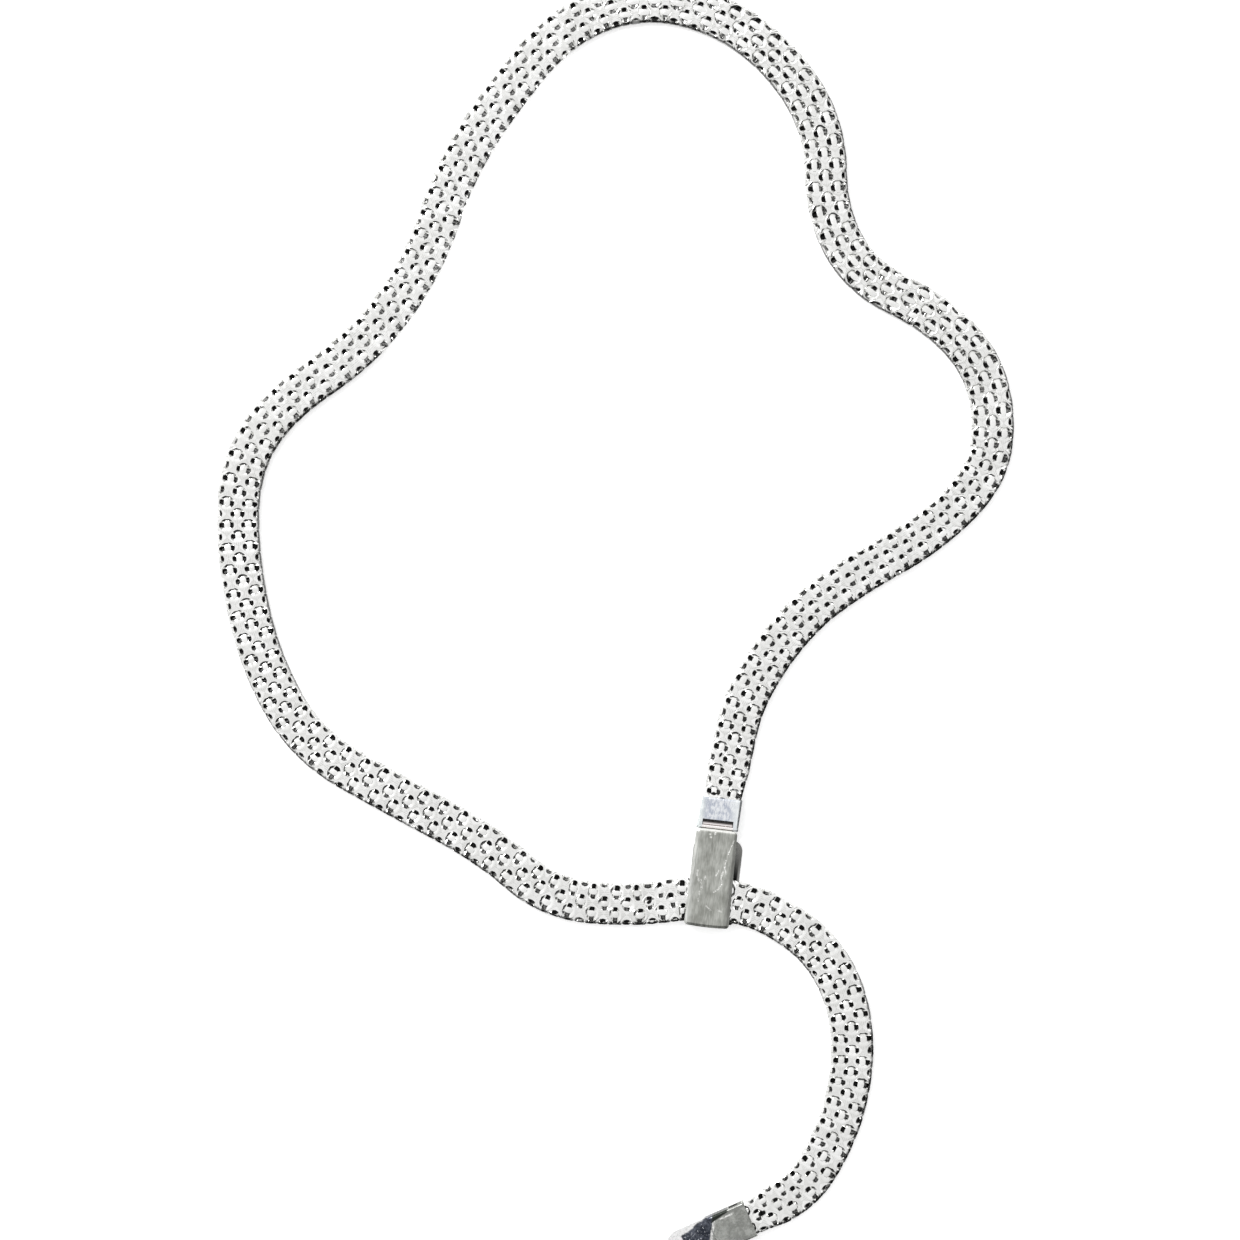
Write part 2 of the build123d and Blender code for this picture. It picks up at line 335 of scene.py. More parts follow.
# Weave: a lattice of diamond cells round the band, each with a pad that has a deep hole at either side
# and a sloping groove round both its ends.
weave = {
    "step": 3.2,  # length of one cell
    "columnWidth": 1.55,
    # Kinds of cell in the columns round the section: three above, one on each edge, three below. A
    # kind has its rings and the share by which their ends are notched.
    "columns": ("middle", "side", "edge", "side", "middle", "side", "edge", "side"),
    "kinds": {"middle": ("rings", 0.0), "side": ("rings", 0.12), "edge": ("edgeRings", 0.0)},
    "bridge": 0.02,  # depth of the bridges between the cells, and how much more half way along them
    "seam": 0.04,
    # Rings of a cell, from near its diamond edge in to its pad. Each has five places in a quarter of
    # the cell, from its end round to its side: (along, across, depth).
    "rings": (
        ((1.32, 0.00, 0.02), (1.05, 0.42, 0.02), (0.78, 0.74, 0.03), (0.40, 1.12, 0.03), (0.00, 1.40, 0.03)),
        ((0.92, 0.00, 0.02), (0.84, 0.38, 0.02), (0.62, 0.68, 0.03), (0.33, 0.97, 0.05), (0.00, 1.03, 0.05)),
        ((0.60, 0.00, 0.25), (0.54, 0.26, 0.25), (0.37, 0.50, 0.23), (0.17, 0.84, 0.58), (0.00, 0.93, 0.64)),
        ((0.57, 0.00, 0.25), (0.51, 0.22, 0.25), (0.34, 0.38, 0.23), (0.15, 0.46, 0.58), (0.00, 0.46, 0.64)),
        ((0.55, 0.00, 0.12), (0.49, 0.20, 0.12), (0.32, 0.35, 0.11), (0.22, 0.42, 0.09), (0.00, 0.42, 0.08)),
        ((0.30, 0.00, 0.05), (0.27, 0.11, 0.05), (0.18, 0.20, 0.04), (0.10, 0.24, 0.04), (0.00, 0.24, 0.04)),
    ),
    "edgeRings": (
        ((1.32, 0.00, 0.02), (1.05, 0.42, 0.02), (0.78, 0.74, 0.03), (0.44, 1.08, 0.03), (0.00, 1.30, 0.03)),
        ((0.96, 0.00, 0.02), (0.88, 0.38, 0.02), (0.68, 0.64, 0.03), (0.44, 0.88, 0.05), (0.00, 0.97, 0.05)),
        ((0.68, 0.00, 0.24), (0.62, 0.26, 0.24), (0.48, 0.50, 0.22), (0.30, 0.76, 0.48), (0.00, 0.85, 0.56)),
        ((0.65, 0.00, 0.24), (0.59, 0.24, 0.24), (0.45, 0.42, 0.22), (0.27, 0.60, 0.48), (0.00, 0.61, 0.56)),
        ((0.63, 0.00, 0.12), (0.57, 0.22, 0.12), (0.42, 0.39, 0.10), (0.28, 0.52, 0.08), (0.00, 0.55, 0.06)),
        ((0.38, 0.00, 0.05), (0.35, 0.14, 0.05), (0.27, 0.25, 0.05), (0.16, 0.33, 0.04), (0.00, 0.35, 0.04)),
    ),
    "deepest": 0.64,  # depth of a hole, past which no depth goes
    "hidden": 0.1,  # the weave stops this far short of the band's ends, inside the cap and the tab
    "crease": 30.0,  # edges that turn by more degrees than this stay sharp
    # Places round the pattern and where they lie round the section: most points keep off the bevel,
    # so that it is one slope from end to end.
    "spread": (
        (0.0, 0.0), (2.0, 2.0), (2.325, 2.45), (2.5, 2.63), (2.6, 2.77), (2.7, 3.12), (2.97, 3.17),
    ),
    "uneven": (0.05, 0.03, 0.03),  # how much the pads differ in size, as a share, in place and in depth
    "unevenRings": (0, 0, 0, 0, 0.5, 1, 1),  # share of that for each ring from the diamond edge in
    "waves": ((0, 19.0), (1, 11.0), (-1, 7.3), (2, 4.7), (-2, 5.9)),  # turns round the band, length
    "waveSize": 0.45,
    "waveSeeds": (3, 4),  # along and across
    "drift": 0.1,  # how far the cells wander along the band, and the share of it across
    "driftAcross": 0.5,
    "pulledPlaces": ((4.8, -39.8, 5.0), (42.1, 44.6, 6.5), (32.1, -78.2, 4.0)),  # x, y and reach
    "pulled": 1.6,  # how much more they wander there
    # The pads are longer in the upper right: how much longer each ring is, where that rises in x and
    # in y, and how far from the pad's middle it starts, so that the holes keep their size.
    "longer": (0, 0, 0.22, 0.57, 0.57, 0.57, 0.57),
    "longerX": (-12, 5),
    "longerY": (15, 30),
    "longerFrom": (0.2, 0.42),
    "filled": 0.85,  # share of the groove that is filled at a pad's lower end, and where that starts
    "filledFrom": (0.2, 0.5),
    # The dark line is a painted shadow on the side of the band that faces the aim below, away from the
    # light, and fades over the turn after it. It is left out near one place: x, y, reach and end of the
    # fade.
    "shadowAim": (0.45, -0.9),
    "shadowTurn": (-0.5, 0.5),
    "shadowQuiet": (-22.0, 62.0, 20.0, 34.0),
    # Which of a cell's two holes has its painted shade lightened by painted light on its lit wall, by the
    # band's heading in degrees: 1 is the one to its left, -1 the one to its right, 0 neither. Low in the
    # photo only a share of that is left.
    "palerHole": (
        (-180, 1), (-112, 1), (-94, 0), (-58, 0), (-35, -1), (45, -0.6), (75, -0.4), (100, -0.7),
        (125, -1), (145, 1), (180, 1),
    ),
    "palerLow": 0.5,
    "palerY": (10, 30),
}
columns = len(weave["columns"])
weaveStart, weaveEnd = weave["hidden"], bandLength - weave["hidden"]


# Rings of places and depths from a cell's diamond edge in to its pad. A ring is its quarter mirrored
# along and across. The diamond's edge runs straight from the cell's end to its side, and its depth
# is the bridge's and the seam times 4t(1 - t), where t is the share of the way.
def cellShape(kind):
    table, notch = weave["kinds"][kind]
    rings = np.array(weave[table])
    rings[1:, 0, 0] *= 1 - notch
    last = rings.shape[1] - 1
    share = np.linspace(0, 1, last + 1)
    edge = np.stack([
        weave["step"] / 2 * (1 - share), weave["columnWidth"] * share,
        weave["bridge"] + weave["seam"] * 4 * share * (1 - share),
    ], axis=-1)
    quarters = np.concatenate([edge[None], rings])
    turn = np.arange(4 * last)
    angle = turn * np.pi / 2 / last
    signs = np.stack([np.sign(np.cos(angle)), np.sign(np.sin(angle)), turn * 0 + 1], axis=-1)
    whole = quarters[:, np.abs((turn + last) % (2 * last) - last)] * signs
    return whole[..., :2], whole[..., 2]


# Places (distance across, height) at a distance round the band's section and below its skin, and 1 on
# its upright side. The outline is flat above and below, bevelled towards the edge and upright at the
# edge: its point is the running sum of the cosine and sine of the angle that it has turned.
def onSection(around, depth):
    half, middle = band["width"] / 2, band["thick"] / 2
    arc, turned = np.array(band["edge"]).T
    fine = np.linspace(0, band["edgeLength"], band["edgePoints"])
    angle = np.radians(np.interp(fine, arc, turned))
    out = np.cumsum(np.cos(angle)) * fine[1]
    fall = np.cumsum(np.sin(angle)) * fine[1]
    last = np.searchsorted(fall, middle)
    flat = half - out[last]
    reach = flat + fine[last]  # from the middle of the top round to the middle of the side
    total = columns * weave["columnWidth"]
    around = (around + total / 2) % total - total / 2
    known, spread = np.array(weave["spread"]).T
    known = np.concatenate([known, [total / 4], total / 2 - known[::-1]])
    spread = np.concatenate([spread, [reach], 2 * reach - spread[::-1]])
    at = np.interp(np.abs(around), known, spread)
    under = at > reach
    at = np.where(under, 2 * reach - at, at)
    past = np.clip(at - flat, 0, fine[last])
    tilt = np.interp(past, fine, angle)
    across = np.minimum(at, flat) + np.interp(past, fine, out) - depth * np.sin(tilt)
    height = middle - np.interp(past, fine, fall) - depth * np.cos(tilt)
    side = np.interp(at, [flat + arc[2], flat + arc[3]], [0, 1])
    return np.sign(around) * across, middle + np.where(under, -height, height), side


# A slow seeded wave over the pattern, between about -1 and 1: a sum of sines, each with whole turns
# round the band and a length along it.
def wander(along, around, seed):
    total = columns * weave["columnWidth"]
    draw = np.random.default_rng(seed)
    wave = 0
    for turns, length in weave["waves"]:
        phase = draw.uniform(0, 2 * np.pi)
        angle = 2 * np.pi * (along / length + turns * around / total) + phase
        wave = wave + weave["waveSize"] * np.sin(angle)
    return wave


# All the cells at once, one row of each array for a cell: they stand at every other crossing of the
# columns and of rows half a cell apart. A ring's places are its shape's, longer in the upper right,
# then a little uneven. Its depth is its shape's, a little uneven, and partly filled at the lower end.
def layCells():
    shapes = [cellShape(kind) for kind in weave["columns"]]
    rings, depths = (np.stack(part) for part in zip(*shapes))
    quarter = rings.shape[2] // 4
    half, width = weave["step"] / 2, weave["columnWidth"]
    rows = round((weaveEnd - weaveStart) / half) - 1
    pace = (weaveEnd - weaveStart) / (rows + 1) / half  # stretches the cells to end with the band
    row, column = np.meshgrid(np.arange(rows), np.arange(columns), indexing="ij")
    even = (row + column) % 2 == 0
    row, column = row[even], column[even]
    middle = np.stack([weaveStart + (1 + row) * half * pace, column * width], axis=-1)
    cells = len(middle)

    here = onBand(middle[:, 0], middle[:, 1] * 0, middle[:, 0] * 0)[:, :2]
    pull = 0
    for x, y, reach in weave["pulledPlaces"]:
        pull = pull + np.exp(-(np.linalg.norm(here - (x, y), axis=1) / reach) ** 2)
    loose = 1 + pull
    weight = np.array(weave["unevenRings"])[:, None]
    sizes, places, dips = weave["uneven"]
    stretch = 1 + weight[..., None] * rng.normal(0, sizes, (cells, 1, 1, 2)) * loose[:, None, None, None]
    shift = weight[..., None] * rng.normal(0, places, (cells, 1, 1, 2)) * loose[:, None, None, None]
    x, y = here.T
    longer = (smooth(x, *weave["longerX"]) * smooth(y, *weave["longerY"]))[:, None, None]
    local = rings[column]
    ends = smooth(np.abs(local[..., 0]), *weave["longerFrom"])
    local[..., 0] *= 1 + longer * ends * np.array(weave["longer"])[:, None]
    local = local * stretch + shift
    depth = depths[column] + weight * rng.normal(0, dips, (cells, 1, 1)) * loose[:, None, None]
    rise = headingAt(middle[:, 0])[:, 1][:, None, None]
    lower = smooth(-local[..., 0] * np.sign(rise), *weave["filledFrom"]) * np.abs(rise)

    # The diamond edges are shared by neighbours, so their points are found by whole-number keys.
    offset = np.rint(rings[0, 0] / (half / quarter, width / quarter)).astype(int)
    keys = np.stack([row, column], axis=-1)[:, None] * quarter + offset
    keys[..., 1] %= columns * quarter
    return {
        "middle": middle,
        "local": local,
        "shift": shift[:, -1],
        "pattern": middle[:, None, None] + local * (pace, 1),
        "depth": np.clip(depth * (1 - weave["filled"] * lower), 0, weave["deepest"]),
        "tone": rng.uniform(0, 1, cells),
        "pull": pull,
        "keys": keys,
    }


# Quads between each ring of a cell and the next one in, and the places of their corners.
def ringQuads(index, spots):
    corners = []
    for grid in (index, spots):
        outer, inner = grid[:, :-1], grid[:, 1:]
        corners.append(np.stack([outer, np.roll(outer, -1, 2), np.roll(inner, -1, 2), inner], axis=3))
    return corners[0].reshape(-1, 4), corners[1].reshape(-1, 8)


# Share of the painted shadow on the edge: the outward direction's part towards the aim away from the light,
# less near the quiet place.
def edgeShadowLine(points, across, heading):
    aimX, aimY = weave["shadowAim"]
    facing = np.sign(across) * (heading[:, 0] * aimY - heading[:, 1] * aimX)
    x, y, reach, end = weave["shadowQuiet"]
    away = np.hypot(points[:, 0] - x, points[:, 1] - y)
    return smooth(facing, *weave["shadowTurn"]) * smooth(away, reach, end)


# How much painted light lightens a hole's painted shade, by the band's heading and the side of its cell that
# it is on.
def holeLightShare(points, aside, heading):
    degrees = np.degrees(np.arctan2(heading[:, 1], heading[:, 0]))
    holeLight = np.clip(np.sign(aside) * np.interp(degrees, *np.array(weave["palerHole"]).T), 0, 1)
    low = weave["palerLow"]
    return holeLight * (low + (1 - low) * smooth(points[:, 1], *weave["palerY"]))


# Both open ends of a piece of the weave get a flat face.
def closeEnds(mesh):
    shell = bmesh.new()
    shell.from_mesh(mesh)
    bmesh.ops.holes_fill(shell, edges=[edge for edge in shell.edges if edge.is_boundary])
    bmesh.ops.recalc_face_normals(shell, faces=shell.faces)
    shell.to_mesh(mesh)
    shell.free()


# One piece of the weave, from its own rows of the cells' arrays. A pattern's place drifts by a wave,
# then goes round the section and along the band.
def weavePiece(name, node, cells, pulled, material):
    count, layers, ring = cells["depth"].shape
    inside = count * (layers - 1) * ring
    where, which = np.unique(
        cells["keys"].reshape(-1, 2), axis=0, return_index=True, return_inverse=True
    )[1:]
    edge = len(where)
    pole = np.arange(count) + edge + inside
    index = np.concatenate([
        which.reshape(count, 1, ring), np.arange(inside).reshape(count, layers - 1, ring) + edge
    ], axis=1)
    quads, quadSpots = ringQuads(index, cells["local"])
    last, spot = index[:, -1], cells["local"][:, -1]
    fans = np.stack([last, np.roll(last, -1, 1), np.broadcast_to(pole[:, None], last.shape)], axis=-1)
    tips = np.broadcast_to(cells["shift"], spot.shape)
    fanSpots = np.stack([spot, np.roll(spot, -1, 1), tips], axis=2)

    # The mesh's points: the diamond edges' once, then the rings', then the middles.
    def atPoints(values, middles):
        flat = values.reshape(count, layers, ring, -1)
        edges = flat[:, 0].reshape(count * ring, -1)[where]
        rings = flat[:, 1:].reshape(inside, -1)
        return np.concatenate([edges, rings, middles.reshape(count, -1)]).squeeze()

    pattern = atPoints(cells["pattern"], cells["middle"] + cells["shift"][:, 0])
    deep = atPoints(cells["depth"], np.full(count, weave["bridge"]))
    aside = atPoints(cells["local"][..., 1], np.zeros(count))
    tone = np.concatenate([
        np.full(edge, 0.5), np.repeat(cells["tone"], inside // count), cells["tone"]
    ])
    spread = weave["drift"] * (1 + weave["pulled"] * np.interp(pattern[:, 0], *pulled))
    ahead, sideways = (wander(*pattern.T, seed) for seed in weave["waveSeeds"])
    along = np.clip(pattern[:, 0] + spread * ahead, weaveStart, weaveEnd)
    across, height, side = onSection(pattern[:, 1] + weave["driftAcross"] * spread * sideways, deep)
    points = onBand(along, across * bandNarrowing(along), height + bandLift(along))
    heading = headingAt(along)
    piece = makePiece(
        name, points, quads.tolist() + fans.reshape(-1, 3).tolist(), "choker", material, {
            "depth": deep / weave["deepest"],
            "tone": tone,
            # the upright side's share times the painted shadow on edges that face away from the light
            "side": side * edgeShadowLine(points, across, heading),
            "holeLight": holeLightShare(points, aside, heading),
        },
    )
    cell = piece.data.uv_layers.new(name="cell")
    cell.data.foreach_set("uv", np.concatenate([quadSpots.ravel(), fanSpots.ravel()]))
    closeEnds(piece.data)
    piece.data.set_sharp_from_angle(angle=math.radians(weave["crease"]))
    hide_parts(node)
    print(name, "cells", count, "faces", len(piece.data.polygons))


# The cells are shared out to the pieces by where their middles lie along the band.
def weaveBand(pieces, material):
    cells = layCells()
    along = cells["middle"][:, 0]
    places, first = np.unique(along, return_index=True)
    pulled = places, cells["pull"][first]
    for name, low, high, node in pieces:
        mine = (along >= low) & (along < high)
        weavePiece(name, node, {key: rows[mine] for key, rows in cells.items()}, pulled, material)


# Finish of the weave: bright silver with fine drawn lines along the bridges, painted shade deep in the holes
# and a painted shadow on the edges that face away from the light.
# Each noise has its scale per millimetre and its detail.
silver = {
    "grain": (3.0, 3.0),
    "fine": (4.5, 2.0),
    "cloud": (0.35, 3.0),
    "metal": ((0.3, 0.75), (0.86, 0.86, 0.845, 1), (0.97, 0.97, 0.96, 1)),  # levels, dull, bright
    "bridge": (0.75, 1.05),  # where a bridge starts, from the cell's middle, and how much it darkens
    "bridgeShare": 0.12,
    "lines": 6,  # drawn lines to the width of a column
    "linesFrom": (0.35, 0.6),  # where the cloud lets them show, and their share in colour and bump
    "linesShare": 0.35,
    "linesBump": 0.6,
    "linesColour": (0.5, 0.5, 0.48, 1),
    "edge": (0.1, 0.5, 0.0, 0.85),  # levels of the painted shadow line on the edge, and its shares there
    "edgeShadowColour": (0.07, 0.07, 0.068, 1),
    "holeShadeFrom": (0.6, 0.88),  # depth where the painted shade starts, as a share of the deepest
    "holeGrain": 0.3,
    "holeShadeColour": (0.012, 0.012, 0.012, 1),
    "palerFrom": (0.38, 0.56),
    "palerShare": 0.45,
    "shadedGaps": (  # patches of painted shade, as in openings of the weave, on a closed mesh: x, y, angle in degrees, half length and half breadth
        (14.02, -24.4, -8.0, 0.5, 0.28),
        (15.0, -18.9, 60.0, 0.45, 0.22),
        (4.81, -39.85, 30.0, 0.5, 0.3),
        (20.93, -84.18, 30.0, 0.7, 0.45),
    ),
    "gapEdge": (1.1, 1.35),  # where a gap's edge fades, and how much the grain roughens it
    "gapGrain": 0.8,
    "roughness": (0.1, 0.24),
    "bump": (0.03, 0.4),  # distance and strength
}


# The drawn lines are a cosine across the cell. The painted shade in a hole rises with the depth and some
# grain.
def wovenMetal():
    bench = Bench(bpy.data.materials.new("wovenMetal"), Metallic=1.0)
    vector = bench.place()
    u, v = bench.parts(bench.add("ShaderNodeUVMap", {"uv_map": "cell"}))
    grain, fine, cloud = (bench.noise(vector, *silver[name]) for name in ("grain", "fine", "cloud"))
    wave = (v * (2 * math.pi * silver["lines"] / weave["columnWidth"])).cosine()
    onBridge = u.size().ramp(*silver["bridge"])
    drawn = (wave * 0.5 + 0.5) * onBridge
    colour = bench.mottled(bench.attribute("tone") * 0.5 + cloud * 0.5, *silver["metal"])
    # darker on the bridges and along the drawn lines
    bridgeDarkening = onBridge * silver["bridgeShare"] + drawn * cloud.ramp(*silver["linesFrom"]) * silver["linesShare"]
    colour = bench.blend(bridgeDarkening, colour, silver["linesColour"])
    # painted shadow along the band's edges that face away from the light
    colour = bench.blend(bench.attribute("side").ramp(*silver["edge"]), colour, silver["edgeShadowColour"])
    # painted shade in patches where the weave looks open
    shadedGaps = 0
    for x, y, angle, length, breadth in silver["shadedGaps"]:
        away = bench.away(vector, (x, y), (length, breadth), math.radians(angle))
        shadedGaps = (away + grain * silver["gapGrain"]).fall(*silver["gapEdge"]) + shadedGaps
    holeShade = (bench.attribute("depth") + grain * silver["holeGrain"]).ramp(*silver["holeShadeFrom"])
    # painted light on the hole whose wall faces the light, broken up by the fine noise
    holeLight = bench.attribute("holeLight") * fine.ramp(*silver["palerFrom"]) * silver["palerShare"]
    shade = (holeShade * (1 - holeLight)).atLeast(shadedGaps)
    bench.feed("Base Color", bench.blend(shade, colour, silver["holeShadeColour"]))
    bench.roughness(grain, *silver["roughness"])
    bench.bump(grain + drawn * silver["linesBump"], *silver["bump"])
    return bench.owner


# Place in the clasp's own frame: x across and y towards the cap from the bar.
def claspPlace(bench, vector):
    return bench.turned(vector, hinge[:2], -clasp["lean"])


# Finish of the clasp's cover, in the clasp's own frame. A rim has the ends of its fade, its share and
# its colour. Streaks have their stretch, then a noise's scale, detail and roughness.
cover = {
    "streaks": ((0.16, 1.5, 1), 1.0, 4.0, 0.6),
    "fine": ((0.07, 0.9, 1), 1.0, 3.0, 0.6),
    "cloud": (0.45, 3.0),
    "shares": (0.5, 0.25, 0.45),  # of these three in the metal's level
    "metal": ((0.42, 0.78), (0.265, 0.27, 0.245, 1), (0.54, 0.55, 0.515, 1)),  # levels, dark, pale
    "leftRimHighlight": ((-3.0, -2.0), 0.55, (0.78, 0.79, 0.77, 1)),
    "leftRimStreaks": (0.3, 0.6, 0.5, 1.0),  # levels of the fine streaks, and the shares of that rim there
    "topRimHighlight": ((-0.68, -0.54), 0.8, (0.88, 0.88, 0.85, 1)),
    "rightRimShade": ((2.5, 2.75), 0.45, (0.16, 0.16, 0.15, 1)),
    "rightLean": 0.02,
    "hookFrom": (0.2, 0.25),  # where the hook round the bar starts, and where it goes from a pale painted reflection to painted shade
    "hook": ((0.38, 0.6), (0.93, 0.87, 0.86, 1), (0.22, 0.20, 0.20, 1)),
    "scratches": (  # from, to, half width, strength
        ((2.6, -1.5), (1.95, -3.6), 0.06, 0.9),
        ((2.05, -3.2), (1.95, -3.6), 0.10, 0.8),
        ((1.75, -4.5), (1.65, -5.5), 0.10, 0.9),
        ((1.62, -5.4), (1.95, -6.4), 0.10, 0.9),
        ((1.5, -6.2), (1.3, -7.0), 0.14, 0.9),
        ((1.35, -7.0), (1.5, -8.0), 0.09, 0.8),
        ((1.5, -7.9), (1.1, -8.7), 0.09, 0.9),
        ((1.0, -8.8), (0.5, -9.2), 0.10, 0.8),
        ((0.85, -6.0), (0.56, -6.85), 0.10, 0.9),
        ((-0.34, -11.25), (0.4, -11.85), 0.10, 0.6),
        ((1.3, -11.7), (1.9, -11.85), 0.12, 0.6),
        ((-2.1, -6.3), (-2.1, -7.1), 0.14, 0.6),
        ((-1.9, -7.4), (-1.8, -7.8), 0.14, 0.5),
        ((-0.95, -7.1), (-0.9, -7.5), 0.16, 0.7),
        ((-1.5, -7.6), (-1.45, -8.2), 0.12, 0.5),
        ((-1.3, -8.4), (-1.3, -8.9), 0.16, 0.6),
        ((-1.5, -9.3), (-1.5, -9.7), 0.14, 0.5),
        ((-1.6, -10.3), (-1.5, -10.7), 0.14, 0.4),
    ),
    "scratchEdge": (0.4, 1.6),  # where a scratch's edge fades, in half widths
    "scratchNoise": (5.0, 3.0),
    "scratchFrom": (0.38, 0.56),
    "scratchColour": (0.9, 0.9, 0.87, 1),
    "dents": ((-0.8, -1.4, 0.2), (-0.95, -1.0, 0.16), (-0.25, -0.85, 0.22)),  # x, y and reach
    "dentEdge": (0.3, 1.3),
    "dentShare": 0.6,
    "dentColour": (0.85, 0.85, 0.82, 1),
    "roughness": (0.28, 0.44),
    "bumpShares": (0.5, 0.3, 1.2, 0.4),  # of the streaks, the fine ones, the dents and the scratches
    "bump": (0.05, 0.6),
}


# 1 on each scratch: the distance to its line is below its half width, broken up by noise.
def scratchMask(bench, vector):
    nearest, furthest = cover["scratchEdge"]
    total = 0
    for (x0, y0), (x1, y1), half, strength in cover["scratches"]:
        length = math.hypot(x1 - x0, y1 - y0)
        middle = ((x0 + x1) / 2, (y0 + y1) / 2)
        u, v = bench.parts(bench.turned(vector, middle, math.atan2(y1 - y0, x1 - x0)))
        away = (u.size() - length / 2).atLeast(0.0) + v.size()
        total = away.fall(half * nearest, half * furthest) * strength + total
    return total * bench.noise(vector, *cover["scratchNoise"]).ramp(*cover["scratchFrom"])


# The cover is a grey brushed plate: noise stretched along it, a painted highlight on its left and top rims
# and painted shade on its right rim, scratches and small dents.
def satinMetal():
    bench = Bench(bpy.data.materials.new("satinMetal"), Metallic=1.0)
    local = claspPlace(bench, bench.place())
    x, y = bench.parts(local)
    streaks = bench.streaks(local, *cover["streaks"])
    fine = bench.streaks(local, *cover["fine"])
    first, second, third = cover["shares"]
    level = streaks * first + fine * second + bench.noise(local, *cover["cloud"]) * third
    colour = bench.mottled(level, *cover["metal"])
    # painted highlight on the left and top rims, which face the light, and painted shade on the right rim,
    # which faces away
    ends, share, rim = cover["leftRimHighlight"]
    colour = bench.blend(x.fall(*ends) * fine.ramp(*cover["leftRimStreaks"]) * share, colour, rim)
    ends, share, rim = cover["topRimHighlight"]
    colour = bench.blend(y.ramp(*ends) * share, colour, rim)
    ends, share, rim = cover["rightRimShade"]
    colour = bench.blend((x - y * cover["rightLean"]).ramp(*ends) * share, colour, rim)
    # the hook round the bar: a pale painted reflection that goes over into painted shade
    colour = bench.blend(y.ramp(*cover["hookFrom"]), colour, bench.mottled(y, *cover["hook"]))
    marks = scratchMask(bench, local)
    colour = bench.blend(marks, colour, cover["scratchColour"])
    dents = 0
    for dentX, dentY, reach in cover["dents"]:
        dents = bench.away(local, (dentX, dentY), (reach, reach)).fall(*cover["dentEdge"]) + dents
    bench.feed("Base Color", bench.blend(dents * cover["dentShare"], colour, cover["dentColour"]))
    bench.roughness(streaks, *cover["roughness"])
    first, second, dented, scratched = cover["bumpShares"]
    bench.bump(streaks * first + fine * second - dents * dented - marks * scratched, *cover["bump"])
    return bench.owner


# Finish of the clasp's base, in the clasp's own frame: a polished cap with a slot, and a leaf in painted
# shadow.
base = {
    "mottle": ((0.3, 0.9, 1), 1.2, 4.0, 0.6),
    "cloud": (0.9, 2.0),
    "shares": (0.6, 0.4),  # of these two in the metal's level
    "metal": ((0.4, 0.6), (0.50, 0.535, 0.62, 1), (0.86, 0.88, 0.91, 1)),  # levels, blue, white
    "leftHighlight": ((-2.9, -1.4, 0.75), (0.90, 0.95, 0.92, 1)),  # ends and share, colour
    "rightHighlight": ((1.2, 2.4, 0.0, 0.7), (0.93, 0.96, 0.96, 1)),
    "rightEdgeShade": ((2.72, 2.86, 0.0, 0.8), (0.10, 0.11, 0.11, 1)),
    "slotHalf": (2.2, 2.25),  # half length of the slot, to the end of its fade
    "bar": ((0.28, 0.32), (0.96, 0.92, 0.91, 1)),  # half breadth of the bar, colour of its painted highlight
    "slotMiddle": 0.7,
    "slotBreadth": (0.4, 0.45),
    "slotLow": (1.0, 1.5),  # only what lies below this height gets the painted shade
    "slot": ((0.7, 0.95), (0.08, 0.075, 0.075, 1), (0.01, 0.01, 0.01, 1)),  # painted shade in the slot: levels, near, far
    "leafShadowFrom": (-1.6, -0.6),
    "leaf": ((-7.4, -2.0), (0.006, 0.006, 0.006, 1), (0.22, 0.22, 0.21, 1)),
    "leafRim": (3.55, 3.85),  # the leaf's right rim, where the painted shadow is lighter, and where it ends with its share
    "leafRimEnd": (-6.5, -3.5, 0.8),
    "leafRimShadow": (0.34, 0.34, 0.33, 1),
    "roughness": (0.14, 0.32),
    "bump": (0.06, 0.6),
}


# Mottled painted reflections on the cap, painted highlights on its left and right, painted shade on its
# right edge, a slot with painted shade and a painted highlight on the bar before it, and a leaf in painted
# shadow that fades to dark.
def brightMetal():
    bench = Bench(bpy.data.materials.new("brightMetal"), Metallic=1.0)
    vector = bench.place()
    height = bench.parts(vector, 3)[2]
    local = claspPlace(bench, vector)
    x, y = bench.parts(local)
    mottle = bench.streaks(local, *base["mottle"])
    first, second = base["shares"]
    colour = bench.mottled(mottle * first + bench.noise(local, *base["cloud"]) * second, *base["metal"])
    # painted highlights on the cap's left and right, and painted shade along its right edge
    ends, paintedLight = base["leftHighlight"]
    colour = bench.blend(x.fall(*ends), colour, paintedLight)
    for ends, paintedLight in (base["rightHighlight"], base["rightEdgeShade"]):
        colour = bench.blend(x.ramp(*ends), colour, paintedLight)
    inSlot = x.size().fall(*base["slotHalf"])
    ends, barHighlight = base["bar"]
    colour = bench.blend(inSlot * y.size().fall(*ends), colour, barHighlight)
    low = height.fall(*base["slotLow"])
    slotShadow = inSlot * low * (y - base["slotMiddle"]).size().fall(*base["slotBreadth"])
    colour = bench.blend(slotShadow, colour, bench.mottled(y, *base["slot"]))
    # the leaf lies in the cover's painted shadow, darkest towards its lower end and lighter on its right rim
    rim = x.ramp(*base["leafRim"]) * y.fall(*base["leafRimEnd"])
    leaf = bench.blend(rim, bench.mottled(y, *base["leaf"]), base["leafRimShadow"])
    bench.feed("Base Color", bench.blend(y.fall(*base["leafShadowFrom"]), colour, leaf))
    bench.roughness(mottle, *base["roughness"])
    bench.bump(mottle, *base["bump"])
    return bench.owner


